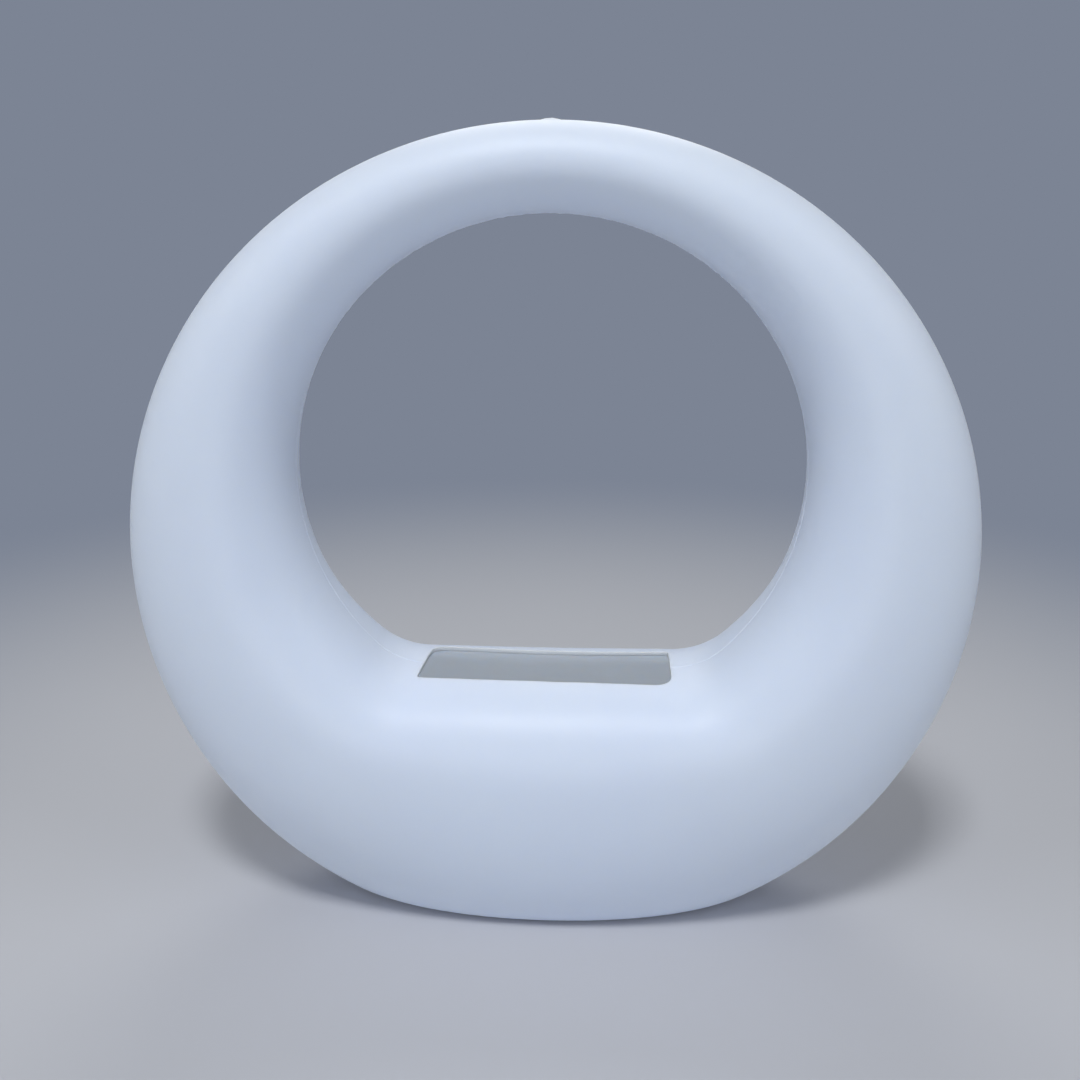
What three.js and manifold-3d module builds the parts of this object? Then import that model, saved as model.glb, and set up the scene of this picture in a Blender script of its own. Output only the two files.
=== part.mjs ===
// Ring planter: a thin-walled moulded ring in two welded halves, with a planting slot and a drain plug.
// Millimetres, +Z up. The ring stands on z = 0, its hole looks along Y, and its front faces -Y.
import * as THREE from "three";
import { mergeVertices } from "three/addons/utils/BufferGeometryUtils.js";
import ManifoldModule from "manifold-3d";

const wasm = await ManifoldModule();
wasm.setup();

// Ring
const ringDiameter = 300;
const baseCut = 20; // height that the flat base takes off the circle
const holeDiameter = 178.5;
const crownThickness = 27.85; // radial thickness over the hole
const crownDepth = 36; // front to back at the top
const cheekDepth = 56; // front to back beside the hole
const bellyDepth = 81; // front to back under the deck
const crownShare = 0.54; // part of the crown's section that lies inside its widest line
const cheekShare = 0.43; // the same beside the hole
const wall = 1.6;

// Planting deck: the flat lower edge of the hole
const deckCut = 18.85; // height that the flat deck takes off the hole's circle
const deckCornerRadius = 26.5;
const deckFullness = 2.8; // superellipse power of the section at the deck, 2 is an ellipse
const deckShare = 0.37; // part of the deck's section that lies above its widest line
const deckStart = 0.3; // sine of the slope below the hole's centre where the deck form begins

// Base
const floorThickness = 3.2;
const baseRounding = 6; // height over which the belly turns into the flat base

// Planting slot in the deck
const slotLength = 91;
const slotWidth = 28;
const slotSetback = 1; // centre of the slot behind the seam
const slotCornerRadius = 3;

// Lap seam between the halves
const lipLength = 2.2;
const lipShare = 0.45; // part of the wall that the lip takes
const fitGap = 0.3;

// Drain in the rear half
const drainSetback = 13;
const drainDiameter = 9.2;
const seatDiameter = 15.4;
const seatDepth = 1.6;
const bossDiameter = 19;
const bossHeight = 2.4; // above the inner floor

// Drain plug
const plugHeadThickness = 1.2;
const plugTaper = 0.6; // loss of radius from head to tip
const plugStickOut = 1.4; // tip above the boss
const plugDish = 0.5; // hollow in the head's underside
const plugPullWidth = 1.8; // bar across the hollow for the fingers

// Gate mark on top of the ring
const gateWidth = 8;
const gateHeight = 0.9;
const gateDepth = 5;

// Facets
const deckSteps = 18;
const cornerSteps = 5;
const archSteps = 52;
const outerSteps = 18;
const innerSteps = 12;
const roundSteps = 32;

// Places that follow from the sizes above
const ringRadius = ringDiameter / 2;
const ringHeight = ringDiameter - baseCut;
const ringCentre = ringHeight - ringRadius;
const holeRadius = holeDiameter / 2;
const holeCentre = ringHeight - crownThickness - holeRadius;
const deckHeight = holeCentre - holeRadius + deckCut;
const cornerDrop = deckHeight + deckCornerRadius - holeCentre;
const cornerX = Math.sqrt((holeRadius - deckCornerRadius) ** 2 - cornerDrop ** 2);
const cornerTop = Math.atan2(cornerDrop, cornerX);
const deckEnd = Math.atan2(deckHeight - holeCentre, cornerX);
const bossTop = floorThickness + bossHeight;
const gateRoot = (wall * (1 - lipShare) - fitGap) / 2; // sunk into the skin outside the lip

const whitePlastic = { color: 0xd8e3f5, roughness: 0.5, metalness: 0 };
const greyRubber = { color: 0x8d9196, roughness: 0.85, metalness: 0 };

// Distance from the hole's centre to the outer circle, drawn in by the inset
function ringReach(angle, inset) {
  const lift = holeCentre - ringCentre;
  const along = Math.sin(angle) * lift;
  return -along + Math.sqrt(along ** 2 - lift ** 2 + (ringRadius - inset) ** 2);
}

// Distance from the hole's centre to the hole's edge, a circle with a flat deck and rounded corners
function holeReach(angle, inset) {
  const across = Math.abs(Math.cos(angle));
  const up = Math.sin(angle);
  if (Math.atan2(up, across) >= cornerTop) {
    return holeRadius + inset;
  }
  const deckReach = (holeCentre - deckHeight + inset) / -up;
  if (deckReach * across <= cornerX) {
    return deckReach;
  }
  const along = across * cornerX + up * cornerDrop;
  const offset = cornerX ** 2 + cornerDrop ** 2 - (deckCornerRadius + inset) ** 2;
  return along + Math.sqrt(along ** 2 - offset);
}

// A parabola in height through the values at the crown, the cheeks and the belly
function atHeight(crown, cheek, belly, angle) {
  const up = Math.sin(angle);
  const slope = (crown - belly) / 2;
  const bend = (crown + belly) / 2 - cheek;
  return cheek + slope * up + bend * up ** 2;
}

// 0 round the open ring, rising smoothly to 1 under the deck
function deckBlend(angle) {
  return THREE.MathUtils.smoothstep(-Math.sin(angle), deckStart, 1);
}

// Keeps a point on its ray above a flat floor, with a rounded turn into it
function stopAtFloor(angle, reach, floor) {
  const up = Math.sin(angle);
  const height = holeCentre + reach * up - floor;
  if (height >= baseRounding) {
    return reach;
  }
  const kept = height <= -baseRounding ? 0 : (height + baseRounding) ** 2 / (4 * baseRounding);
  return (kept + floor - holeCentre) / up;
}

// One skin of a half section from the outer seam to the inner seam, as [reach, depth] pairs
function skin(angle, inset, floor, steps) {
  const hole = holeReach(angle, inset);
  const ring = ringReach(angle, inset);
  const widest = hole + atHeight(crownShare, cheekShare, deckShare, angle) * (ring - hole);
  const halfDepth = atHeight(crownDepth, cheekDepth, bellyDepth, angle) / 2 - inset;
  const fullness = THREE.MathUtils.lerp(2, deckFullness, deckBlend(angle));
  const points = [];
  for (let i = 0; i <= steps; i += 1) {
    const turn = (Math.PI * i) / steps;
    const inner = 2 * i > steps;
    const power = inner ? 2 / fullness : 1;
    const side = inner ? hole - widest : ring - widest;
    const reach = widest + side * Math.abs(Math.cos(turn)) ** power;
    const depth = halfDepth * Math.abs(Math.sin(turn)) ** power;
    points.push([stopAtFloor(angle, reach, floor), depth]);
  }
  return points;
}

// Corner points of the seam at one edge of a half: the front half has a lip, the rear half a rebate for it
function seam(outside, inside, hasLip) {
  const toInside = Math.sign(inside - outside);
  const lipFace = inside + (outside - inside) * lipShare;
  if (hasLip) {
    return [[lipFace, 0], [lipFace, -lipLength], [inside, -lipLength]];
  }
  const rebateFace = lipFace - toInside * fitGap;
  return [[rebateFace, 0], [rebateFace, lipLength + fitGap]];
}

// Closed wall section of one half at one angle round the ring
function halfSection(angle, hasLip) {
  const outer = skin(angle, 0, 0, outerSteps);
  const inner = skin(angle, wall, floorThickness, innerSteps);
  const start = hasLip ? 0 : lipLength + fitGap;
  const lining = inner.map(([reach, depth]) => [reach, Math.max(depth, start)]);
  const atHole = seam(outer[outerSteps][0], inner[innerSteps][0], hasLip);
  const atRim = seam(outer[0][0], inner[0][0], hasLip);
  return [...outer, ...atHole, ...lining.reverse(), ...atRim.reverse()];
}

function spread(from, to, steps) {
  return Array.from({ length: steps }, (_, i) => from + ((to - from) * i) / steps);
}

// Angles round the hole, closer together at the deck's corners
function ringAngles() {
  return [
    ...spread(deckEnd, cornerTop, cornerSteps),
    ...spread(cornerTop, Math.PI - cornerTop, archSteps),
    ...spread(Math.PI - cornerTop, Math.PI - deckEnd, cornerSteps),
    ...spread(Math.PI - deckEnd, deckEnd + 2 * Math.PI, deckSteps),
  ];
}

// Half of the ring, lofted through its sections: front towards -Y, rear towards +Y
function halfRing(isFront) {
  const angles = ringAngles();
  const facing = isFront ? -1 : 1;
  const positions = [];
  const indices = [];
  let count = 0;
  for (const angle of angles) {
    const section = halfSection(angle, isFront);
    count = section.length;
    for (const [reach, depth] of section) {
      positions.push(reach * Math.cos(angle), facing * depth, holeCentre + reach * Math.sin(angle));
    }
  }
  for (let i = 0; i < angles.length; i += 1) {
    const here = i * count;
    const next = ((i + 1) % angles.length) * count;
    for (let j = 0; j < count; j += 1) {
      const k = (j + 1) % count;
      const quad = isFront
        ? [here + j, next + j, next + k, here + k]
        : [here + j, here + k, next + k, next + j];
      indices.push(quad[0], quad[1], quad[2], quad[0], quad[2], quad[3]);
    }
  }
  const geometry = new THREE.BufferGeometry();
  geometry.setAttribute("position", new THREE.Float32BufferAttribute(positions, 3));
  geometry.setIndex(indices);
  return geometry;
}

function toSolid(geometry) {
  const bare = new THREE.BufferGeometry();
  bare.setAttribute("position", geometry.getAttribute("position"));
  bare.setIndex(geometry.getIndex());
  const merged = mergeVertices(bare, 1e-4);
  return new wasm.Manifold(new wasm.Mesh({
    numProp: 3,
    vertProperties: new Float32Array(merged.getAttribute("position").array),
    triVerts: new Uint32Array(merged.getIndex().array),
  }));
}

function toMesh(name, solid, look) {
  const data = solid.getMesh();
  const geometry = new THREE.BufferGeometry();
  geometry.setAttribute("position", new THREE.BufferAttribute(new Float32Array(data.vertProperties), 3));
  geometry.setIndex(Array.from(data.triVerts));
  geometry.computeVertexNormals();
  const mesh = new THREE.Mesh(geometry, new THREE.MeshStandardMaterial(look));
  mesh.name = name;
  return mesh;
}

function roundedRectangle(length, width, radius) {
  const x = length / 2 - radius;
  const y = width / 2 - radius;
  const shape = new THREE.Shape();
  shape.absarc(x, y, radius, 0, Math.PI / 2);
  shape.absarc(-x, y, radius, Math.PI / 2, Math.PI);
  shape.absarc(-x, -y, radius, Math.PI, 1.5 * Math.PI);
  shape.absarc(x, -y, radius, 1.5 * Math.PI, 2 * Math.PI);
  return shape;
}

// Upright knife through the deck in the slot's outline
function slotCutter() {
  const outline = roundedRectangle(slotLength, slotWidth, slotCornerRadius);
  const height = 2 * deckCornerRadius;
  const cutter = new THREE.ExtrudeGeometry(outline, { depth: height, bevelEnabled: false, curveSegments: 6 });
  cutter.translate(0, slotSetback, deckHeight - height / 2);
  return toSolid(cutter);
}

// Upright cylinder on the drain's axis between two heights
function drainCylinder(diameter, bottom, top) {
  const cylinder = new THREE.CylinderGeometry(diameter / 2, diameter / 2, top - bottom, roundSteps);
  cylinder.rotateX(Math.PI / 2);
  cylinder.translate(0, drainSetback, (bottom + top) / 2);
  return toSolid(cylinder);
}

// Half of the low trimmed mark that the mould gate leaves on top of the ring
function gateMark(facing) {
  const rise = gateHeight + gateRoot;
  const radius = ((gateWidth / 2) ** 2 + rise ** 2) / (2 * rise);
  const half = Math.asin(gateWidth / 2 / radius);
  const outline = new THREE.Shape();
  outline.absarc(0, ringHeight + gateHeight - radius, radius, Math.PI / 2 - half, Math.PI / 2 + half);
  const mark = new THREE.ExtrudeGeometry(outline, { depth: gateDepth / 2, bevelEnabled: false, curveSegments: 10 });
  mark.rotateX(Math.PI / 2);
  mark.translate(0, facing > 0 ? gateDepth / 2 : 0, 0);
  return toSolid(mark);
}

function frontShell() {
  const shell = toSolid(halfRing(true)).subtract(slotCutter()).add(gateMark(-1));
  return toMesh("front_shell", shell, whitePlastic);
}

function rearShell() {
  const boss = drainCylinder(bossDiameter, floorThickness / 2, bossTop);
  const seat = drainCylinder(seatDiameter, -seatDepth, seatDepth);
  const drain = drainCylinder(drainDiameter, 0, 2 * bossTop);
  const body = toSolid(halfRing(false)).subtract(slotCutter()).add(gateMark(1));
  return toMesh("rear_shell", body.add(boss).subtract(seat).subtract(drain), whitePlastic);
}

// Tapered plug with a flat head in the seat and a finger bar across its dished underside
function drainPlug() {
  const headRadius = seatDiameter / 2 - fitGap;
  const stemRadius = drainDiameter / 2 - fitGap;
  const dishRadius = headRadius - 2 * plugHeadThickness;
  const tip = bossTop + plugStickOut;
  const under = seatDepth - plugHeadThickness;
  const profile = [
    [0, under + plugDish],
    [dishRadius, under + plugDish],
    [dishRadius + plugDish, under],
    [headRadius, under],
    [headRadius, seatDepth],
    [stemRadius, seatDepth],
    [stemRadius - plugTaper, tip],
    [0, tip],
  ];
  const turned = new THREE.LatheGeometry(profile.map(([x, y]) => new THREE.Vector2(x, y)), roundSteps);
  turned.rotateX(Math.PI / 2);
  turned.translate(0, drainSetback, 0);
  const bar = new THREE.BoxGeometry(2 * dishRadius, plugPullWidth, 2 * plugDish);
  bar.translate(0, drainSetback, under + plugDish);
  return toMesh("drain_plug", toSolid(turned).add(toSolid(bar)), greyRubber);
}

const group = new THREE.Group();
group.name = "ring_planter";
group.add(frontShell(), rearShell(), drainPlug());

export default group;
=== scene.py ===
"""Ring planter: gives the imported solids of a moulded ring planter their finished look."""
import math

import bmesh
import bpy
from bpy.props import FloatProperty, FloatVectorProperty, IntProperty, PointerProperty
from mathutils import Euler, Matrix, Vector, noise


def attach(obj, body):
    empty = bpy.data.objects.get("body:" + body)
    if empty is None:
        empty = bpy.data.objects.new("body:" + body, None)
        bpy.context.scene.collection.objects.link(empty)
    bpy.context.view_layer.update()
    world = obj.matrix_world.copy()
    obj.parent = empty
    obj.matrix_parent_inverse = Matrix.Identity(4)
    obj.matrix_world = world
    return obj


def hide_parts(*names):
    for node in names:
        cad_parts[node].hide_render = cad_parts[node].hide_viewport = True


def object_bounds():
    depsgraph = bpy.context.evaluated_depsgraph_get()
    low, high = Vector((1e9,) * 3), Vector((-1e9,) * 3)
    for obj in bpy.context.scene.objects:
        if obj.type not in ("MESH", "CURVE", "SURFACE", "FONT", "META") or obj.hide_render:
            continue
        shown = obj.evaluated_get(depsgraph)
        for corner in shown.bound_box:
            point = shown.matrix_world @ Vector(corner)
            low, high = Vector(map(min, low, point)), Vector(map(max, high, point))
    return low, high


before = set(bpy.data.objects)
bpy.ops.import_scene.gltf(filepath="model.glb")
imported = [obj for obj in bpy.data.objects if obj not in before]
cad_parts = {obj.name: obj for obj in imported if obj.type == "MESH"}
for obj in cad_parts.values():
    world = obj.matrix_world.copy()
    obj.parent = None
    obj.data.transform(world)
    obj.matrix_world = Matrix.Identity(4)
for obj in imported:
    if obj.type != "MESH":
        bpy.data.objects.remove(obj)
CAD_BOX = [list(corner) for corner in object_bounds()]

bl_info = {
    "name": "Ring Planter",
    "version": (1, 0, 0),
    "blender": (4, 5, 0),
    "location": "View3D > Sidebar > Planter",
    "description": "Builds a moulded ring planter with a trimmed planting slot and a drain plug",
    "category": "Object",
}

MM = 0.001
BODY = "planter"
PLUG_BODY = "plug"


# Kinds of settings

def length(name, description, millimetres):
    """A size, given in millimetres and kept in metres."""
    return FloatProperty(
        name=name, description=description, default=millimetres * MM, min=0.0, precision=5, unit="LENGTH")


def share_of(name, description, share):
    """A part of a whole, always less than all of it."""
    return FloatProperty(
        name=name, description=description, default=share, min=0.0, max=0.9, subtype="FACTOR")


def slot_corner(name, x, y, rounding):
    """A corner of the slot with its rounding, given in millimetres and kept in metres."""
    return FloatVectorProperty(
        name=name, description="Place along X and Y, then how far the corner is rounded",
        default=(x * MM, y * MM, rounding * MM), precision=5, unit="LENGTH")


def linear(hex_value):
    """Linear colour of an sRGB hex value."""
    channels = [int(hex_value[i:i + 2], 16) / 255 for i in (1, 3, 5)]
    return (*(c / 12.92 if c <= 0.04045 else ((c + 0.055) / 1.055) ** 2.4 for c in channels), 1.0)


def colour(name, description, hex_value):
    """A colour, given as an sRGB hex value."""
    return FloatVectorProperty(
        name=name, description=description, default=linear(hex_value),
        size=4, min=0.0, max=1.0, subtype="COLOR")


def lamp_power(name, description, watts):
    """The power of a lamp."""
    return FloatProperty(name=name, description=description, default=watts, min=0.0, unit="POWER")


def camera_angle(name, description, degrees):
    """A turn of the camera, given in degrees and kept in radians."""
    return FloatProperty(name=name, description=description, default=math.radians(degrees), unit="ROTATION")


# Sizes and colours that a user would change

class RingSizes(bpy.types.PropertyGroup):
    """Moulded ring"""
    diameter: length("Diameter", "Outside width of the ring", (CAD_BOX[1][0] - CAD_BOX[0][0]) / MM)
    base_cut: length("Base cut", "Height that the flat base takes off the circle", 20.0)
    hole: length("Hole", "Diameter of the hole's circle", 178.5)
    crown: length("Crown", "Radial thickness over the hole", 27.85)
    crown_depth: length("Crown depth", "Front to back at the top", 36.0)
    cheek_depth: length("Cheek depth", "Front to back beside the hole", 56.0)
    belly_depth: length("Belly depth", "Front to back under the deck", 81.0)
    wall: length("Wall", "Thickness of the moulded skin", 1.6)
    floor: length("Floor", "Thickness of the base", 3.2)
    base_rounding: length("Base rounding", "Height over which the belly turns into the base", 6.0)
    deck_cut: length("Deck cut", "Height that the flat deck takes off the hole's circle", 18.85)
    deck_corner: length("Deck corner", "Radius between the deck and the hole", 26.5)
    deck_fullness: FloatProperty(
        name="Deck fullness", description="Superellipse power of the section at the deck",
        default=2.8, min=2.0)
    crown_share: share_of("Crown share", "Part of the crown's section inside its widest line", 0.54)
    cheek_share: share_of("Cheek share", "Part of the cheeks' section inside their widest line", 0.43)
    deck_share: share_of("Deck share", "Part of the deck's section above its widest line", 0.37)
    deck_start: share_of("Deck start", "Sine of the slope where the deck form begins", 0.3)
    ring_steps: IntProperty(
        name="Ring steps", description="Sections round the ring", default=360, min=36)
    skin_steps: IntProperty(
        name="Skin steps", description="Points across the outer skin", default=80, min=12)


class SlotTrim(bpy.types.PropertyGroup):
    """Planting slot, trimmed by hand"""
    front_left: slot_corner("Front left", -47.5, -11.9, 1.5)
    front_right: slot_corner("Front right", 44.3, -14.0, 6.5)
    rear_right: slot_corner("Rear right", 45.0, 15.7, 2.0)
    rear_left: slot_corner("Rear left", -44.8, 18.0, 6.0)
    rear_bow: length("Rear bow", "How far the rear cut swings forwards", 2.7)
    wander: length("Wander", "How far the knife strays from its line", 0.3)


class SeamSizes(bpy.types.PropertyGroup):
    """Seam between the halves, and the gate mark on it"""
    bead_width: length("Bead width", "Width of the raised seam inside the ring", 0.8)
    bead_height: length("Bead height", "Height of the raised seam inside the ring", 0.25)
    groove: length("Groove", "Depth of the fine line between the halves", 0.15)
    gate_width: length("Gate width", "Width of the trimmed gate mark on top", 9.6)
    gate_depth: length("Gate depth", "Front to back size of the gate mark", 4.6)
    gate_height: length("Gate height", "Height of the gate mark", 0.6)
    gate_foot: length("Gate foot", "How far the gate mark's rim dips into the ring", 0.4)


class DrainSizes(bpy.types.PropertyGroup):
    """Drain and its plug"""
    setback: length("Setback", "Axis of the drain behind the seam", 13.0)
    hole: length("Hole", "Diameter of the drain hole", 9.2)
    seat: length("Seat", "Diameter of the recess for the plug's head", 15.4)
    seat_depth: length("Seat depth", "Depth of that recess", 1.6)
    boss: length("Boss", "Diameter of the raised rim inside", 19.0)
    boss_height: length("Boss height", "Height of that rim above the floor", 2.4)
    fit_gap: length("Fit gap", "Space between the plug and the ring", 0.3)
    head: length("Head", "Thickness of the plug's head", 1.2)
    taper: length("Taper", "Loss of radius from head to tip", 0.6)
    stick_out: length("Stick-out", "Tip of the plug above the boss", 1.4)
    dish: length("Dish", "Hollow in the head's underside", 0.5)
    pull: length("Finger bar", "Width of the bar across the hollow", 1.8)
    edge: length("Edge", "Rounding of the moulded edges", 0.25)


class Finish(bpy.types.PropertyGroup):
    """Colours of the planter and the stage"""
    shell: colour("Shell", "Moulded white of the ring", "#D8E3FB")
    shell_tint: colour("Shell tint", "Second white that the first drifts into", "#D4DFF8")
    lining: colour("Lining", "Inside of the ring", "#DFE7F4")
    cut_edge: colour("Cut edge", "Fresh knife cut", "#DFE8F6")
    rubber: colour("Rubber", "Drain plug", "#8D9196")
    bloom: colour("Bloom", "Dusty specks on the rubber", "#B9BCBF")
    paper: colour("Paper", "Studio floor", "#BEC1C8")
    backdrop: colour("Backdrop", "Distance behind the floor", "#7C8494")


class StageSettings(bpy.types.PropertyGroup):
    """Lamps, floor and camera"""
    key_power: lamp_power("Key", "Small softbox, high in front", 9.5)
    front_power: lamp_power("Front", "Wide softbox behind the camera", 5.35)
    side_power: lamp_power("Sides", "Wide softboxes left and right", 3.0)
    back_power: lamp_power("Back", "Wide softbox behind the ring", 4.8)
    small_box: length("Small softbox", "Width and height of the key lamp", 250.0)
    wide_box: length("Wide softbox", "Width and height of the other lamps", 800.0)
    lamp_distance: length("Lamp distance", "From every lamp to the point it is aimed at", 1400.0)
    aim_height: length("Aim height", "Height of the point that the lamps are aimed at", 140.0)
    ambient: FloatProperty(
        name="Ambient", description="Even light from all sides", default=0.15, min=0.0)
    floor_width: length("Floor width", "Side of the square floor", 40000.0)
    fade_start: length("Fade start", "Distance where the floor begins to fade", 200.0)
    fade_end: length("Fade end", "Distance where only the backdrop is left", 650.0)
    camera_place: FloatVectorProperty(
        name="Camera", description="Place of the camera",
        default=(0.01233, -0.35166, 0.25559), precision=5, unit="LENGTH")
    camera_pitch: camera_angle("Pitch", "Downward tilt", 18.043)
    camera_pan: camera_angle("Pan", "Turn to the left", 2.553)
    lens: FloatProperty(
        name="Lens", description="Focal length on a 36 mm frame", default=34.667, min=1.0, unit="CAMERA")


# Shape of the ring

class RingForm:
    """Outline and section of the ring, worked out from its sizes. Angles turn round the hole's centre."""

    def __init__(self, sizes):
        self.sizes = sizes
        self.radius = sizes.diameter / 2
        self.top = sizes.diameter - sizes.base_cut
        self.centre = self.top - self.radius
        self.hole_radius = sizes.hole / 2
        self.hole_centre = self.top - sizes.crown - self.hole_radius
        self.deck = self.hole_centre - self.hole_radius + sizes.deck_cut
        self.corner_drop = self.deck + sizes.deck_corner - self.hole_centre
        self.corner_x = math.sqrt((self.hole_radius - sizes.deck_corner) ** 2 - self.corner_drop ** 2)
        self.corner_top = math.atan2(self.corner_drop, self.corner_x)

    def ring_reach(self, angle, inset):
        """Distance from the hole's centre to the outer circle, drawn in by the inset."""
        lift = self.hole_centre - self.centre
        along = math.sin(angle) * lift
        return -along + math.sqrt(along ** 2 - lift ** 2 + (self.radius - inset) ** 2)

    def hole_reach(self, angle, inset):
        """Distance to the hole's edge, a circle with a flat deck and rounded corners."""
        across = abs(math.cos(angle))
        up = math.sin(angle)
        if math.atan2(up, across) >= self.corner_top:
            return self.hole_radius + inset
        deck_reach = (self.hole_centre - self.deck + inset) / -up
        if deck_reach * across <= self.corner_x:
            return deck_reach
        along = across * self.corner_x + up * self.corner_drop
        offset = self.corner_x ** 2 + self.corner_drop ** 2 - (self.sizes.deck_corner + inset) ** 2
        return along + math.sqrt(along ** 2 - offset)

    @staticmethod
    def at_height(crown, cheek, belly, angle):
        """A parabola in height through the values at the crown, the cheeks and the belly."""
        up = math.sin(angle)
        return cheek + (crown - belly) / 2 * up + ((crown + belly) / 2 - cheek) * up ** 2

    def deck_blend(self, angle):
        """0 round the open ring, rising smoothly to 1 under the deck."""
        start = self.sizes.deck_start
        part = min(max((-math.sin(angle) - start) / (1 - start), 0.0), 1.0)
        return part * part * (3 - 2 * part)

    def above_floor(self, angle, reach, floor):
        """Keeps a point on its ray above a flat floor, with a rounded turn into it."""
        up = math.sin(angle)
        turn = self.sizes.base_rounding
        height = self.hole_centre + reach * up - floor
        if height >= turn:
            return reach
        kept = 0.0 if height <= -turn else (height + turn) ** 2 / (4 * turn)
        return (kept + floor - self.hole_centre) / up

    def skin(self, angle, inset, floor, steps):
        """One skin of a half section from the outer seam to the inner seam, as (reach, depth) pairs."""
        sizes = self.sizes
        hole = self.hole_reach(angle, inset)
        ring = self.ring_reach(angle, inset)
        share = self.at_height(sizes.crown_share, sizes.cheek_share, sizes.deck_share, angle)
        widest = hole + share * (ring - hole)
        depth = self.at_height(sizes.crown_depth, sizes.cheek_depth, sizes.belly_depth, angle) / 2 - inset
        fullness = 2 + (sizes.deck_fullness - 2) * self.deck_blend(angle)
        points = []
        for step in range(steps + 1):
            turn = math.pi * step / steps
            inner = 2 * step > steps
            power = 2 / fullness if inner else 1.0
            side = hole - widest if inner else ring - widest
            reach = widest + side * abs(math.cos(turn)) ** power
            points.append((self.above_floor(angle, reach, floor), depth * abs(math.sin(turn)) ** power))
        return points

    def place(self, angle, reach, depth):
        """Point in space for a reach from the hole's centre and a depth along Y."""
        return Vector((reach * math.cos(angle), depth, self.hole_centre + reach * math.sin(angle)))


# Meshes and pieces

CREASE = math.radians(35)


def new_piece(name, mesh_data, body, replaced=()):
    """Object that shows in the scene, rides on a body and hides the parts that it replaces."""
    piece = bpy.data.objects.new(name, mesh_data)
    bpy.context.scene.collection.objects.link(piece)
    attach(piece, body)
    for node in replaced:
        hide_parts(node)
    return piece


def mesh_from(name, points, faces, materials, indices=None):
    """Mesh with smooth faces, outward normals and its materials."""
    made = bpy.data.meshes.new(name)
    made.from_pydata([tuple(point) for point in points], [], faces)
    for material in materials:
        made.materials.append(material)
    if indices:
        made.polygons.foreach_set("material_index", indices)
    shaped = bmesh.new()
    shaped.from_mesh(made)
    bmesh.ops.recalc_face_normals(shaped, faces=shaped.faces)
    shaped.to_mesh(made)
    shaped.free()
    made.polygons.foreach_set("use_smooth", [True] * len(made.polygons))
    return made


def bridge_rings(rings, closed=True, capped=False):
    """Points and faces of a surface through rings of equal count."""
    count = len(rings[0])
    points = [point for ring in rings for point in ring]
    faces = []
    last = len(rings) if closed else len(rings) - 1
    for i in range(last):
        here = i * count
        there = (i + 1) % len(rings) * count
        for j in range(count):
            k = (j + 1) % count
            faces.append((here + j, there + j, there + k, here + k))
    if capped:
        faces.append(tuple(range(count)))
        faces.append(tuple(range(len(points) - count, len(points))))
    return points, faces


def turned(profile, axis, steps=96):
    """Points and faces of (radius, height) pairs turned round an upright axis, closed at both ends."""
    # Half a step of turn keeps the corners off the ring's own sections, where cuts would leave slivers
    turns = [2 * math.pi * (i + 0.5) / steps for i in range(steps)]
    rings = [
        [axis + Vector((radius * math.cos(turn), radius * math.sin(turn), height)) for turn in turns]
        for radius, height in profile
    ]
    return bridge_rings(rings, closed=False, capped=True)


def combine(piece, points, faces, material_index, operation):
    """Joins a closed shape to a piece or cuts it away for good, and keeps the new edges crisp."""
    shape = mesh_from("shape", points, faces, piece.data.materials, [material_index] * len(faces))
    tool = bpy.data.objects.new("shape", shape)
    bpy.context.scene.collection.objects.link(tool)
    change = piece.modifiers.new("combine", "BOOLEAN")
    change.operation = operation
    change.solver = "EXACT"
    change.object = tool
    bpy.context.view_layer.update()
    result = bpy.data.meshes.new_from_object(piece.evaluated_get(bpy.context.evaluated_depsgraph_get()))
    piece.modifiers.clear()
    piece.data = result
    result.set_sharp_from_angle(angle=CREASE)
    bpy.data.objects.remove(tool)
    if not result.polygons:
        raise RuntimeError(f"{operation} left nothing of {piece.name}")


# Hollow ring

SKIN, LINING, CUT = range(3)

# Mean and swing of the weld bead's height as shares of its full height, its waves per radian, and the row
# of the noise field that it follows
BEAD_MEAN = 0.7
BEAD_SWING = 0.6
BEAD_WAVES = 60
BEAD_ROW = 0.3


def bead_points(form, seam, angle, steps=8):
    """Raised seam across the inside of the ring, front to back, slightly uneven as a weld is."""
    hole = form.hole_reach(angle, 0.0)
    swing = BEAD_SWING * noise.noise((BEAD_WAVES * angle, BEAD_ROW, 0.0))
    height = seam.bead_height * (BEAD_MEAN + swing)
    half = seam.bead_width / 2
    turns = [math.pi * step / steps for step in range(steps + 1)]
    return [(hole - height * math.sin(turn), -half * math.cos(turn)) for turn in turns]


def skin_section(form, seam, angle):
    """Closed outline of the outer skin, from the fine groove outside over the bead inside and back."""
    front = form.skin(angle, 0.0, 0.0, form.sizes.skin_steps)
    outside = front[0][0]
    middle = front[1:-1]
    return [
        (outside - seam.groove, 0.0),
        (outside, -seam.groove),
        *((reach, -depth) for reach, depth in middle),
        *bead_points(form, seam, angle),
        *reversed(middle),
        (outside, seam.groove),
    ]


def lining_section(form, angle):
    """Closed outline of the hollow inside the wall."""
    front = form.skin(angle, form.sizes.wall, form.sizes.floor, form.sizes.skin_steps // 2)
    return [*((reach, -depth) for reach, depth in front), *reversed(front[1:-1])]


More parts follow.
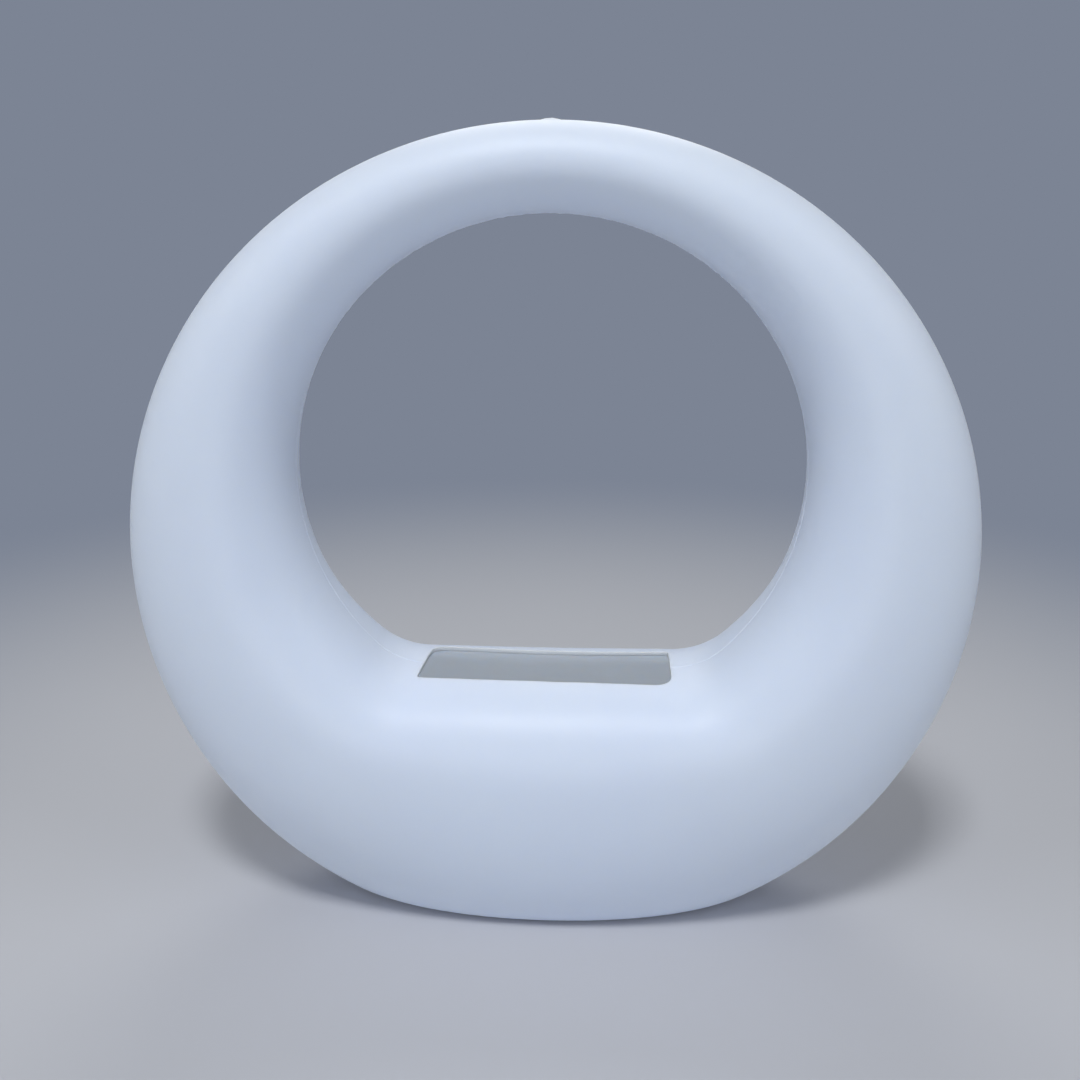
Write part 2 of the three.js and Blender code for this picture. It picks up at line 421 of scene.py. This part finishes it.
def ring_mesh(name, form, seam, materials):
    """Hollow ring: the outer skin and, turned inwards, the lining."""
    angles = [2 * math.pi * i / form.sizes.ring_steps for i in range(form.sizes.ring_steps)]
    skin = [[form.place(angle, *point) for point in skin_section(form, seam, angle)] for angle in angles]
    lining = [[form.place(angle, *point) for point in lining_section(form, angle)] for angle in angles]
    points, faces = bridge_rings(skin)
    inner_points, inner_faces = bridge_rings(lining)
    start = len(points)
    indices = [SKIN] * len(faces) + [LINING] * len(inner_faces)
    faces += [tuple(start + corner for corner in face) for face in inner_faces]
    made = mesh_from(name, points + inner_points, faces, materials, indices)
    flipped = bmesh.new()
    flipped.from_mesh(made)
    inside = [face for face in flipped.faces if face.material_index == LINING]
    bmesh.ops.reverse_faces(flipped, faces=inside)
    flipped.to_mesh(made)
    flipped.free()
    return made


# Waves of the knife's stray along one edge, and the row of the noise field that it follows
STRAY_WAVES = 9
STRAY_ROW = 0.5


def slot_outline(trim, edge_steps=24, corner_steps=8):
    """Outline of the slot as a knife left it, anticlockwise from above."""
    corners = [trim.front_left, trim.front_right, trim.rear_right, trim.rear_left]
    bows = [0.0, 0.0, -trim.rear_bow, 0.0]
    outline = []
    for i, corner in enumerate(corners):
        before, here, after = (Vector(corners[k % 4][:2]) for k in (i - 1, i, i + 1))
        start = here + (before - here).normalized() * corner[2]
        end = here + (after - here).normalized() * corner[2]
        for step in range(corner_steps + 1):
            t = step / corner_steps
            outline.append(start.lerp(here, t).lerp(here.lerp(end, t), t))
        stop = after + (here - after).normalized() * corners[(i + 1) % 4][2]
        outwards = Vector(((stop - end).y, (end - stop).x)).normalized()
        for step in range(1, edge_steps):
            t = step / edge_steps
            bow = 4 * t * (1 - t) * bows[i]
            stray = math.sin(math.pi * t) * trim.wander * noise.noise((STRAY_WAVES * t, i, STRAY_ROW))
            outline.append(end.lerp(stop, t) + outwards * (bow + stray))
    return outline


def slot_prism(form, trim):
    """Upright prism with the slot's outline."""
    outline = slot_outline(trim)
    reach = form.sizes.deck_corner
    rings = [[Vector((p.x, p.y, form.deck + lift)) for p in outline] for lift in (-reach, reach)]
    return bridge_rings(rings, closed=False, capped=True)


# Share of the gate mark's height that its torn top varies by, and the tear's waves per metre
TEAR_SHARE = 0.12
TEAR_WAVES = 900


def gate_mound(form, seam, around=48, inwards=10):
    """Low mound on top of the ring with a torn top and a rim that dips into the skin."""
    rings = []
    for i in range(inwards + 1):
        spread = 1 - i / (inwards + 1)
        rise = seam.gate_height * (1 - spread ** 2) ** 2 - seam.gate_foot * spread ** 4
        ring = []
        for j in range(around):
            turn = 2 * math.pi * j / around
            x = seam.gate_width / 2 * spread * math.cos(turn)
            y = seam.gate_depth / 2 * spread * math.sin(turn)
            torn = TEAR_SHARE * seam.gate_height * (noise.noise((TEAR_WAVES * x, TEAR_WAVES * y, 0.0)) - 1)
            skin = form.centre + math.sqrt(form.radius ** 2 - x * x)
            ring.append(Vector((x, y, skin + rise + torn * (1 - spread))))
        rings.append(ring)
    return bridge_rings(rings, closed=False, capped=True)


# Drain and plug

def drain_axis(drain):
    """Foot of the upright axis that the drain and the plug share."""
    return Vector((0.0, drain.setback, 0.0))


def drain_boss(form, drain):
    """Raised rim round the drain on the inner floor, with a rounded top edge."""
    radius = drain.boss / 2
    top = form.sizes.floor + drain.boss_height
    profile = [
        (radius, form.sizes.floor / 2),
        (radius, top - drain.edge),
        (radius - drain.edge, top),
    ]
    return turned(profile, drain_axis(drain))


def drain_bore(form, drain):
    """Space of the drain: the seat under the floor and the hole through floor and boss."""
    top = form.sizes.floor + drain.boss_height
    profile = [
        (drain.seat / 2 + drain.edge, -drain.seat_depth),
        (drain.seat / 2 + drain.edge, 0.0),
        (drain.seat / 2, drain.edge),
        (drain.seat / 2, drain.seat_depth),
        (drain.hole / 2, drain.seat_depth),
        (drain.hole / 2, top - drain.edge),
        (drain.hole / 2 + drain.edge, top),
        (drain.hole / 2 + drain.edge, 2 * top),
    ]
    return turned(profile, drain_axis(drain))


def plug_profile(form, drain):
    """Half outline of the plug from its dished head up to its tapered tip, with rounded edges."""
    edge = drain.edge
    head = drain.seat / 2 - drain.fit_gap
    stem = drain.hole / 2 - drain.fit_gap
    dish = head - 2 * drain.head
    tip = form.sizes.floor + drain.boss_height + drain.stick_out
    under = drain.seat_depth - drain.head
    return [
        (dish, under + drain.dish),
        (dish + drain.dish, under),
        (head - edge, under),
        (head, under + edge),
        (head, drain.seat_depth - edge),
        (head - edge, drain.seat_depth),
        (stem, drain.seat_depth),
        (stem - drain.taper + edge / 2, tip - 2 * edge),
        (stem - drain.taper - edge, tip),
    ]


def finger_bar(drain, steps=12):
    """Rounded bar across the dish under the head, level with its rim."""
    under = drain.seat_depth - drain.head
    half = drain.seat / 2 - drain.fit_gap - 2 * drain.head + drain.dish / 2
    arch = [math.pi * i / steps for i in range(steps + 1)]
    section = [
        (drain.pull / 2 * math.cos(turn), under + 2 * drain.dish * (1 - math.sin(turn)))
        for turn in arch
    ]
    rings = [[drain_axis(drain) + Vector((x, y, z)) for y, z in section] for x in (-half, half)]
    return bridge_rings(rings, closed=False, capped=True)


# Materials

SATIN_WHITE = "Moulded polypropylene, satin white"
PLAIN_INSIDE = "Moulded polypropylene, plain inside"
KNIFE_CUT = "Polypropylene, knife cut"
POLYPROPYLENE_IOR = 1.49

# Range that a noise texture mostly stays in
NOISE_LOW = 0.3
NOISE_HIGH = 0.7

# The Mix node has several sockets of one name, which are told apart by number
VECTOR_A, VECTOR_B, VECTOR_OUT = 4, 5, 1
COLOUR_A, COLOUR_B, COLOUR_OUT = 6, 7, 2


def add_node(tree, kind, inputs=None, **settings):
    """Adds a node with its settings, and sets or links its inputs."""
    made = tree.nodes.new(kind)
    for key, value in settings.items():
        setattr(made, key, value)
    for key, value in (inputs or {}).items():
        if isinstance(value, bpy.types.NodeSocket):
            tree.links.new(value, made.inputs[key])
        else:
            made.inputs[key].default_value = value
    return made


def new_material(name):
    """Material without nodes, and its node tree."""
    material = bpy.data.materials.new(name)
    material.use_nodes = True
    material.node_tree.nodes.clear()
    return material, material.node_tree


def moulded_white(finish):
    """Injection-moulded polypropylene off a finely textured mould: even satin white that hardly shines."""
    material, tree = new_material(SATIN_WHITE)
    place = add_node(tree, "ShaderNodeTexCoord").outputs["Object"]
    drift = add_node(tree, "ShaderNodeTexNoise", {"Vector": place, "Scale": 1 / (60 * MM), "Detail": 2.0})
    shade = add_node(
        tree, "ShaderNodeMix",
        {"Factor": drift.outputs["Fac"], COLOUR_A: finish.shell, COLOUR_B: finish.shell_tint},
        data_type="RGBA")
    # The real texture is about 0.1 mm, too fine to show, so it is drawn at 0.5 mm
    grain = add_node(tree, "ShaderNodeTexNoise", {"Vector": place, "Scale": 1 / (0.5 * MM), "Detail": 3.0})
    gloss = add_node(tree, "ShaderNodeMapRange", {
        "Value": drift.outputs["Fac"], "From Min": NOISE_LOW, "From Max": NOISE_HIGH,
        "To Min": 0.46, "To Max": 0.54})
    bump = add_node(
        tree, "ShaderNodeBump", {"Height": grain.outputs["Fac"], "Strength": 0.25, "Distance": 0.02 * MM})
    shader = add_node(tree, "ShaderNodeBsdfPrincipled", {
        "Base Color": shade.outputs[COLOUR_OUT], "Roughness": gloss.outputs["Result"],
        "IOR": POLYPROPYLENE_IOR, "Normal": bump.outputs["Normal"],
        "Subsurface Weight": 1.0, "Subsurface Radius": (1.0, 1.0, 1.0), "Subsurface Scale": 2.0 * MM})
    add_node(tree, "ShaderNodeOutputMaterial", {"Surface": shader.outputs["BSDF"]})
    return material


def moulded_lining(finish):
    """Back of the moulding, off the plain half of the mould: duller white with faint flow streaks."""
    material, tree = new_material(PLAIN_INSIDE)
    place = add_node(tree, "ShaderNodeTexCoord").outputs["Object"]
    streaks = add_node(tree, "ShaderNodeMapping", {"Vector": place, "Scale": (1.0, 1.0, 0.2)})
    flow = add_node(
        tree, "ShaderNodeTexNoise",
        {"Vector": streaks.outputs["Vector"], "Scale": 1 / (9 * MM), "Detail": 3.0})
    gloss = add_node(tree, "ShaderNodeMapRange", {
        "Value": flow.outputs["Fac"], "From Min": NOISE_LOW, "From Max": NOISE_HIGH,
        "To Min": 0.55, "To Max": 0.68})
    bump = add_node(
        tree, "ShaderNodeBump", {"Height": flow.outputs["Fac"], "Strength": 0.2, "Distance": 0.05 * MM})
    # Light comes through the thin walls under the deck and not through the thick floor
    height = add_node(tree, "ShaderNodeSeparateXYZ", {"Vector": place}).outputs["Z"]
    glow = add_node(
        tree, "ShaderNodeMapRange",
        {"Value": height, "From Min": 20 * MM, "From Max": 75 * MM, "To Min": 2 * MM, "To Max": 45 * MM},
        interpolation_type="SMOOTHSTEP")
    # Painted cool shade: the upper walls pass light tinted blue, so the shaded hollow under the deck looks
    # cool
    cool_shade_height = add_node(
        tree, "ShaderNodeMapRange",
        {"Value": height, "From Min": 55 * MM, "From Max": 72 * MM}, interpolation_type="SMOOTHSTEP")
    radius = add_node(
        tree, "ShaderNodeMix",
        {"Factor": cool_shade_height.outputs["Result"], VECTOR_A: (0.95, 1.05, 1.3), VECTOR_B: (0.67, 1.05, 2.67)},
        data_type="VECTOR")
    shader = add_node(tree, "ShaderNodeBsdfPrincipled", {
        "Base Color": finish.lining, "Roughness": gloss.outputs["Result"],
        "IOR": POLYPROPYLENE_IOR, "Normal": bump.outputs["Normal"],
        # The blue-leaning radius above the painted cool shade line tints the shade seen in the hollow
        "Subsurface Weight": 1.0, "Subsurface Radius": radius.outputs[VECTOR_OUT],
        "Subsurface Scale": glow.outputs["Result"]})
    add_node(tree, "ShaderNodeOutputMaterial", {"Surface": shader.outputs["BSDF"]})
    return material


def knife_cut(finish):
    """Wall cut through with a knife: a dry, paler edge with fine drag lines."""
    material, tree = new_material(KNIFE_CUT)
    place = add_node(tree, "ShaderNodeTexCoord").outputs["Object"]
    drag = add_node(tree, "ShaderNodeMapping", {"Vector": place, "Scale": (1.0, 1.0, 12.0)})
    lines = add_node(
        tree, "ShaderNodeTexNoise",
        {"Vector": drag.outputs["Vector"], "Scale": 1 / (4 * MM), "Detail": 4.0})
    bump = add_node(
        tree, "ShaderNodeBump", {"Height": lines.outputs["Fac"], "Strength": 0.5, "Distance": 0.08 * MM})
    shader = add_node(tree, "ShaderNodeBsdfPrincipled", {
        "Base Color": finish.cut_edge, "Roughness": 0.72,
        "IOR": POLYPROPYLENE_IOR, "Normal": bump.outputs["Normal"],
        "Subsurface Weight": 1.0, "Subsurface Radius": (1.0, 1.0, 1.0), "Subsurface Scale": 3.0 * MM})
    add_node(tree, "ShaderNodeOutputMaterial", {"Surface": shader.outputs["BSDF"]})
    return material


def moulded_rubber(finish):
    """Compression-moulded rubber: dull grey with a dusty bloom in fine specks."""
    material, tree = new_material("Moulded rubber, grey")
    place = add_node(tree, "ShaderNodeTexCoord").outputs["Object"]
    bloom = add_node(tree, "ShaderNodeTexNoise", {"Vector": place, "Scale": 1 / (1.2 * MM), "Detail": 5.0})
    dust = add_node(
        tree, "ShaderNodeMapRange",
        {"Value": bloom.outputs["Fac"], "From Min": 0.45, "From Max": 0.75, "To Min": 0.0, "To Max": 0.25})
    shade = add_node(
        tree, "ShaderNodeMix",
        {"Factor": dust.outputs["Result"], COLOUR_A: finish.rubber, COLOUR_B: finish.bloom},
        data_type="RGBA")
    bump = add_node(
        tree, "ShaderNodeBump", {"Height": bloom.outputs["Fac"], "Strength": 0.3, "Distance": 0.03 * MM})
    shader = add_node(tree, "ShaderNodeBsdfPrincipled", {
        "Base Color": shade.outputs[COLOUR_OUT], "Roughness": 0.82,
        "IOR": 1.52, "Normal": bump.outputs["Normal"]})
    add_node(tree, "ShaderNodeOutputMaterial", {"Surface": shader.outputs["BSDF"]})
    return material


def shell_materials(finish):
    """The ring's skin, lining and cut edge, made once and shared by its pieces."""
    makers = {SATIN_WHITE: moulded_white, PLAIN_INSIDE: moulded_lining, KNIFE_CUT: knife_cut}
    return [bpy.data.materials.get(name) or maker(finish) for name, maker in makers.items()]


# Stage

def seen_directly(tree):
    """1 for rays from the camera and for what glossy or clear surfaces show."""
    path = add_node(tree, "ShaderNodeLightPath").outputs
    shine = add_node(
        tree, "ShaderNodeMath",
        {0: path["Is Glossy Ray"], 1: path["Is Transmission Ray"]}, operation="MAXIMUM")
    either = add_node(
        tree, "ShaderNodeMath",
        {0: path["Is Camera Ray"], 1: shine.outputs["Value"]}, operation="MAXIMUM")
    return either.outputs["Value"]


def studio_paper(finish, stage):
    """Matt paper, which keeps the shadow and fades into the backdrop in the distance."""
    material, tree = new_material("Matt studio paper")
    place = add_node(tree, "ShaderNodeTexCoord").outputs["Object"]
    away = add_node(tree, "ShaderNodeVectorMath", {0: place}, operation="LENGTH")
    fade = add_node(
        tree, "ShaderNodeMapRange",
        {"Value": away.outputs["Value"], "From Min": stage.fade_start, "From Max": stage.fade_end},
        interpolation_type="SMOOTHSTEP")
    shown = add_node(
        tree, "ShaderNodeMath", {0: fade.outputs["Result"], 1: seen_directly(tree)}, operation="MULTIPLY")
    paper = add_node(tree, "ShaderNodeBsdfDiffuse", {"Color": finish.paper})
    distance = add_node(tree, "ShaderNodeEmission", {"Color": finish.backdrop, "Strength": 1.0})
    mixed = add_node(
        tree, "ShaderNodeMixShader",
        {0: shown.outputs["Value"], 1: paper.outputs["BSDF"], 2: distance.outputs["Emission"]})
    add_node(tree, "ShaderNodeOutputMaterial", {"Surface": mixed.outputs["Shader"]})
    return material


def lay_floor(finish, stage):
    """Square of studio paper under the ring."""
    half = stage.floor_width / 2
    corners = [(-half, -half, 0.0), (half, -half, 0.0), (half, half, 0.0), (-half, half, 0.0)]
    made = bpy.data.meshes.new("studio_floor")
    made.from_pydata(corners, [], [(0, 1, 2, 3)])
    made.materials.append(studio_paper(finish, stage))
    floor = bpy.data.objects.new("studio_floor", made)
    bpy.context.scene.collection.objects.link(floor)


def light_world(finish, ambient):
    """Even light for the object, and the backdrop's colour where it is seen."""
    world = bpy.data.worlds.new("studio")
    world.use_nodes = True
    tree = world.node_tree
    tree.nodes.clear()
    even = add_node(tree, "ShaderNodeBackground", {"Color": (1.0, 1.0, 1.0, 1.0), "Strength": ambient})
    shown = add_node(tree, "ShaderNodeBackground", {"Color": finish.backdrop, "Strength": 1.0})
    mixed = add_node(
        tree, "ShaderNodeMixShader",
        {0: seen_directly(tree), 1: even.outputs["Background"], 2: shown.outputs["Background"]})
    add_node(tree, "ShaderNodeOutputWorld", {"Surface": mixed.outputs["Shader"]})
    bpy.context.scene.world = world


def hang_lamp(name, stage, azimuth, elevation, size, power):
    """Square soft lamp round the ring: azimuth 0 is in front and 90 to the right, in degrees."""
    aim = Vector((0.0, 0.0, stage.aim_height))
    tilt = Euler((math.radians(90 - elevation), 0.0, math.radians(azimuth)))
    data = bpy.data.lights.new(name, "AREA")
    data.shape = "SQUARE"
    data.size = size
    data.energy = power
    lamp = bpy.data.objects.new(name, data)
    lamp.rotation_euler = tilt
    lamp.location = aim + tilt.to_matrix() @ Vector((0.0, 0.0, stage.lamp_distance))
    bpy.context.scene.collection.objects.link(lamp)


def hang_lamps(stage):
    """A small key lamp high in front, and wide lamps round the ring that fill its shadows."""
    wide = stage.wide_box
    hang_lamp("key_lamp", stage, azimuth=-10, elevation=66, size=stage.small_box, power=stage.key_power)
    hang_lamp("front_lamp", stage, azimuth=0, elevation=6, size=wide, power=stage.front_power)
    hang_lamp("left_lamp", stage, azimuth=-70, elevation=30, size=wide, power=stage.side_power)
    hang_lamp("right_lamp", stage, azimuth=70, elevation=30, size=wide, power=stage.side_power)
    hang_lamp("back_lamp", stage, azimuth=180, elevation=40, size=wide, power=stage.back_power)


def set_camera(scene, stage):
    """Camera in front of the ring, slightly above it and looking down."""
    data = bpy.data.cameras.new("camera")
    data.sensor_width = 36.0
    data.lens = stage.lens
    camera = bpy.data.objects.new("camera", data)
    camera.location = stage.camera_place
    camera.rotation_euler = Euler((math.pi / 2 - stage.camera_pitch, 0.0, stage.camera_pan))
    scene.collection.objects.link(camera)
    scene.camera = camera


# Operators

class PLANTER_OT_shell(bpy.types.Operator):
    """Moulds the hollow ring, welded from its two halves, and trims the planting slot through the deck"""
    bl_idname = "planter.shell"
    bl_label = "Moulded ring"

    def execute(self, context):
        scene = context.scene
        form = RingForm(scene.planter_ring)
        drain = scene.planter_drain
        made = ring_mesh("ring_shell", form, scene.planter_seam, shell_materials(scene.planter_finish))
        piece = new_piece("ring_shell", made, BODY, ["front_shell", "rear_shell"])
        combine(piece, *drain_boss(form, drain), LINING, "UNION")
        combine(piece, *drain_bore(form, drain), SKIN, "DIFFERENCE")
        combine(piece, *slot_prism(form, scene.planter_slot), CUT, "DIFFERENCE")
        return {"FINISHED"}


class PLANTER_OT_gate(bpy.types.Operator):
    """Leaves the low trimmed mark of the mould gate on top of the ring"""
    bl_idname = "planter.gate"
    bl_label = "Gate mark"

    def execute(self, context):
        scene = context.scene
        points, faces = gate_mound(RingForm(scene.planter_ring), scene.planter_seam)
        white = shell_materials(scene.planter_finish)[SKIN]
        new_piece("gate_mark", mesh_from("gate_mark", points, faces, [white]), BODY)
        return {"FINISHED"}


class PLANTER_OT_plug(bpy.types.Operator):
    """Moulds the rubber drain plug with its finger bar"""
    bl_idname = "planter.plug"
    bl_label = "Drain plug"

    def execute(self, context):
        scene = context.scene
        drain = scene.planter_drain
        profile = plug_profile(RingForm(scene.planter_ring), drain)
        points, faces = turned(profile, drain_axis(drain))
        made = mesh_from("rubber_plug", points, faces, [moulded_rubber(scene.planter_finish)])
        piece = new_piece("rubber_plug", made, PLUG_BODY, ["drain_plug"])
        combine(piece, *finger_bar(drain), 0, "UNION")
        return {"FINISHED"}


class PLANTER_OT_stage(bpy.types.Operator):
    """Sets the pale floor, the soft lamps and the camera"""
    bl_idname = "planter.stage"
    bl_label = "Studio stage"

    def execute(self, context):
        scene = context.scene
        stage = scene.planter_stage
        lay_floor(scene.planter_finish, stage)
        light_world(scene.planter_finish, stage.ambient)
        hang_lamps(stage)
        set_camera(scene, stage)
        scene.view_settings.view_transform = "Standard"
        return {"FINISHED"}


# Panel and registration

OPERATORS = (PLANTER_OT_shell, PLANTER_OT_gate, PLANTER_OT_plug, PLANTER_OT_stage)
GROUPS = {
    "planter_ring": RingSizes,
    "planter_slot": SlotTrim,
    "planter_seam": SeamSizes,
    "planter_drain": DrainSizes,
    "planter_finish": Finish,
    "planter_stage": StageSettings,
}


class PLANTER_PT_panel(bpy.types.Panel):
    """Lists the planter's operators and all its settings"""
    bl_idname = "PLANTER_PT_panel"
    bl_label = "Ring planter"
    bl_space_type = "VIEW_3D"
    bl_region_type = "UI"
    bl_category = "Planter"

    def draw(self, context):
        for operator in OPERATORS:
            self.layout.operator(operator.bl_idname)
        for group in GROUPS:
            settings = getattr(context.scene, group)
            box = self.layout.box()
            for name in settings.bl_rna.properties.keys():
                if name not in {"rna_type", "name"}:
                    box.prop(settings, name)


def register():
    for made in (*GROUPS.values(), *OPERATORS, PLANTER_PT_panel):
        bpy.utils.register_class(made)
    for name, group in GROUPS.items():
        setattr(bpy.types.Scene, name, PointerProperty(type=group))


def unregister():
    for name in GROUPS:
        delattr(bpy.types.Scene, name)
    for made in (PLANTER_PT_panel, *reversed(OPERATORS), *reversed(GROUPS.values())):
        bpy.utils.unregister_class(made)


def main():
    """Builds the pieces and the stage."""
    register()
    bpy.ops.planter.shell()
    bpy.ops.planter.gate()
    bpy.ops.planter.plug()
    bpy.ops.planter.stage()


if __name__ == "__main__":
    main()
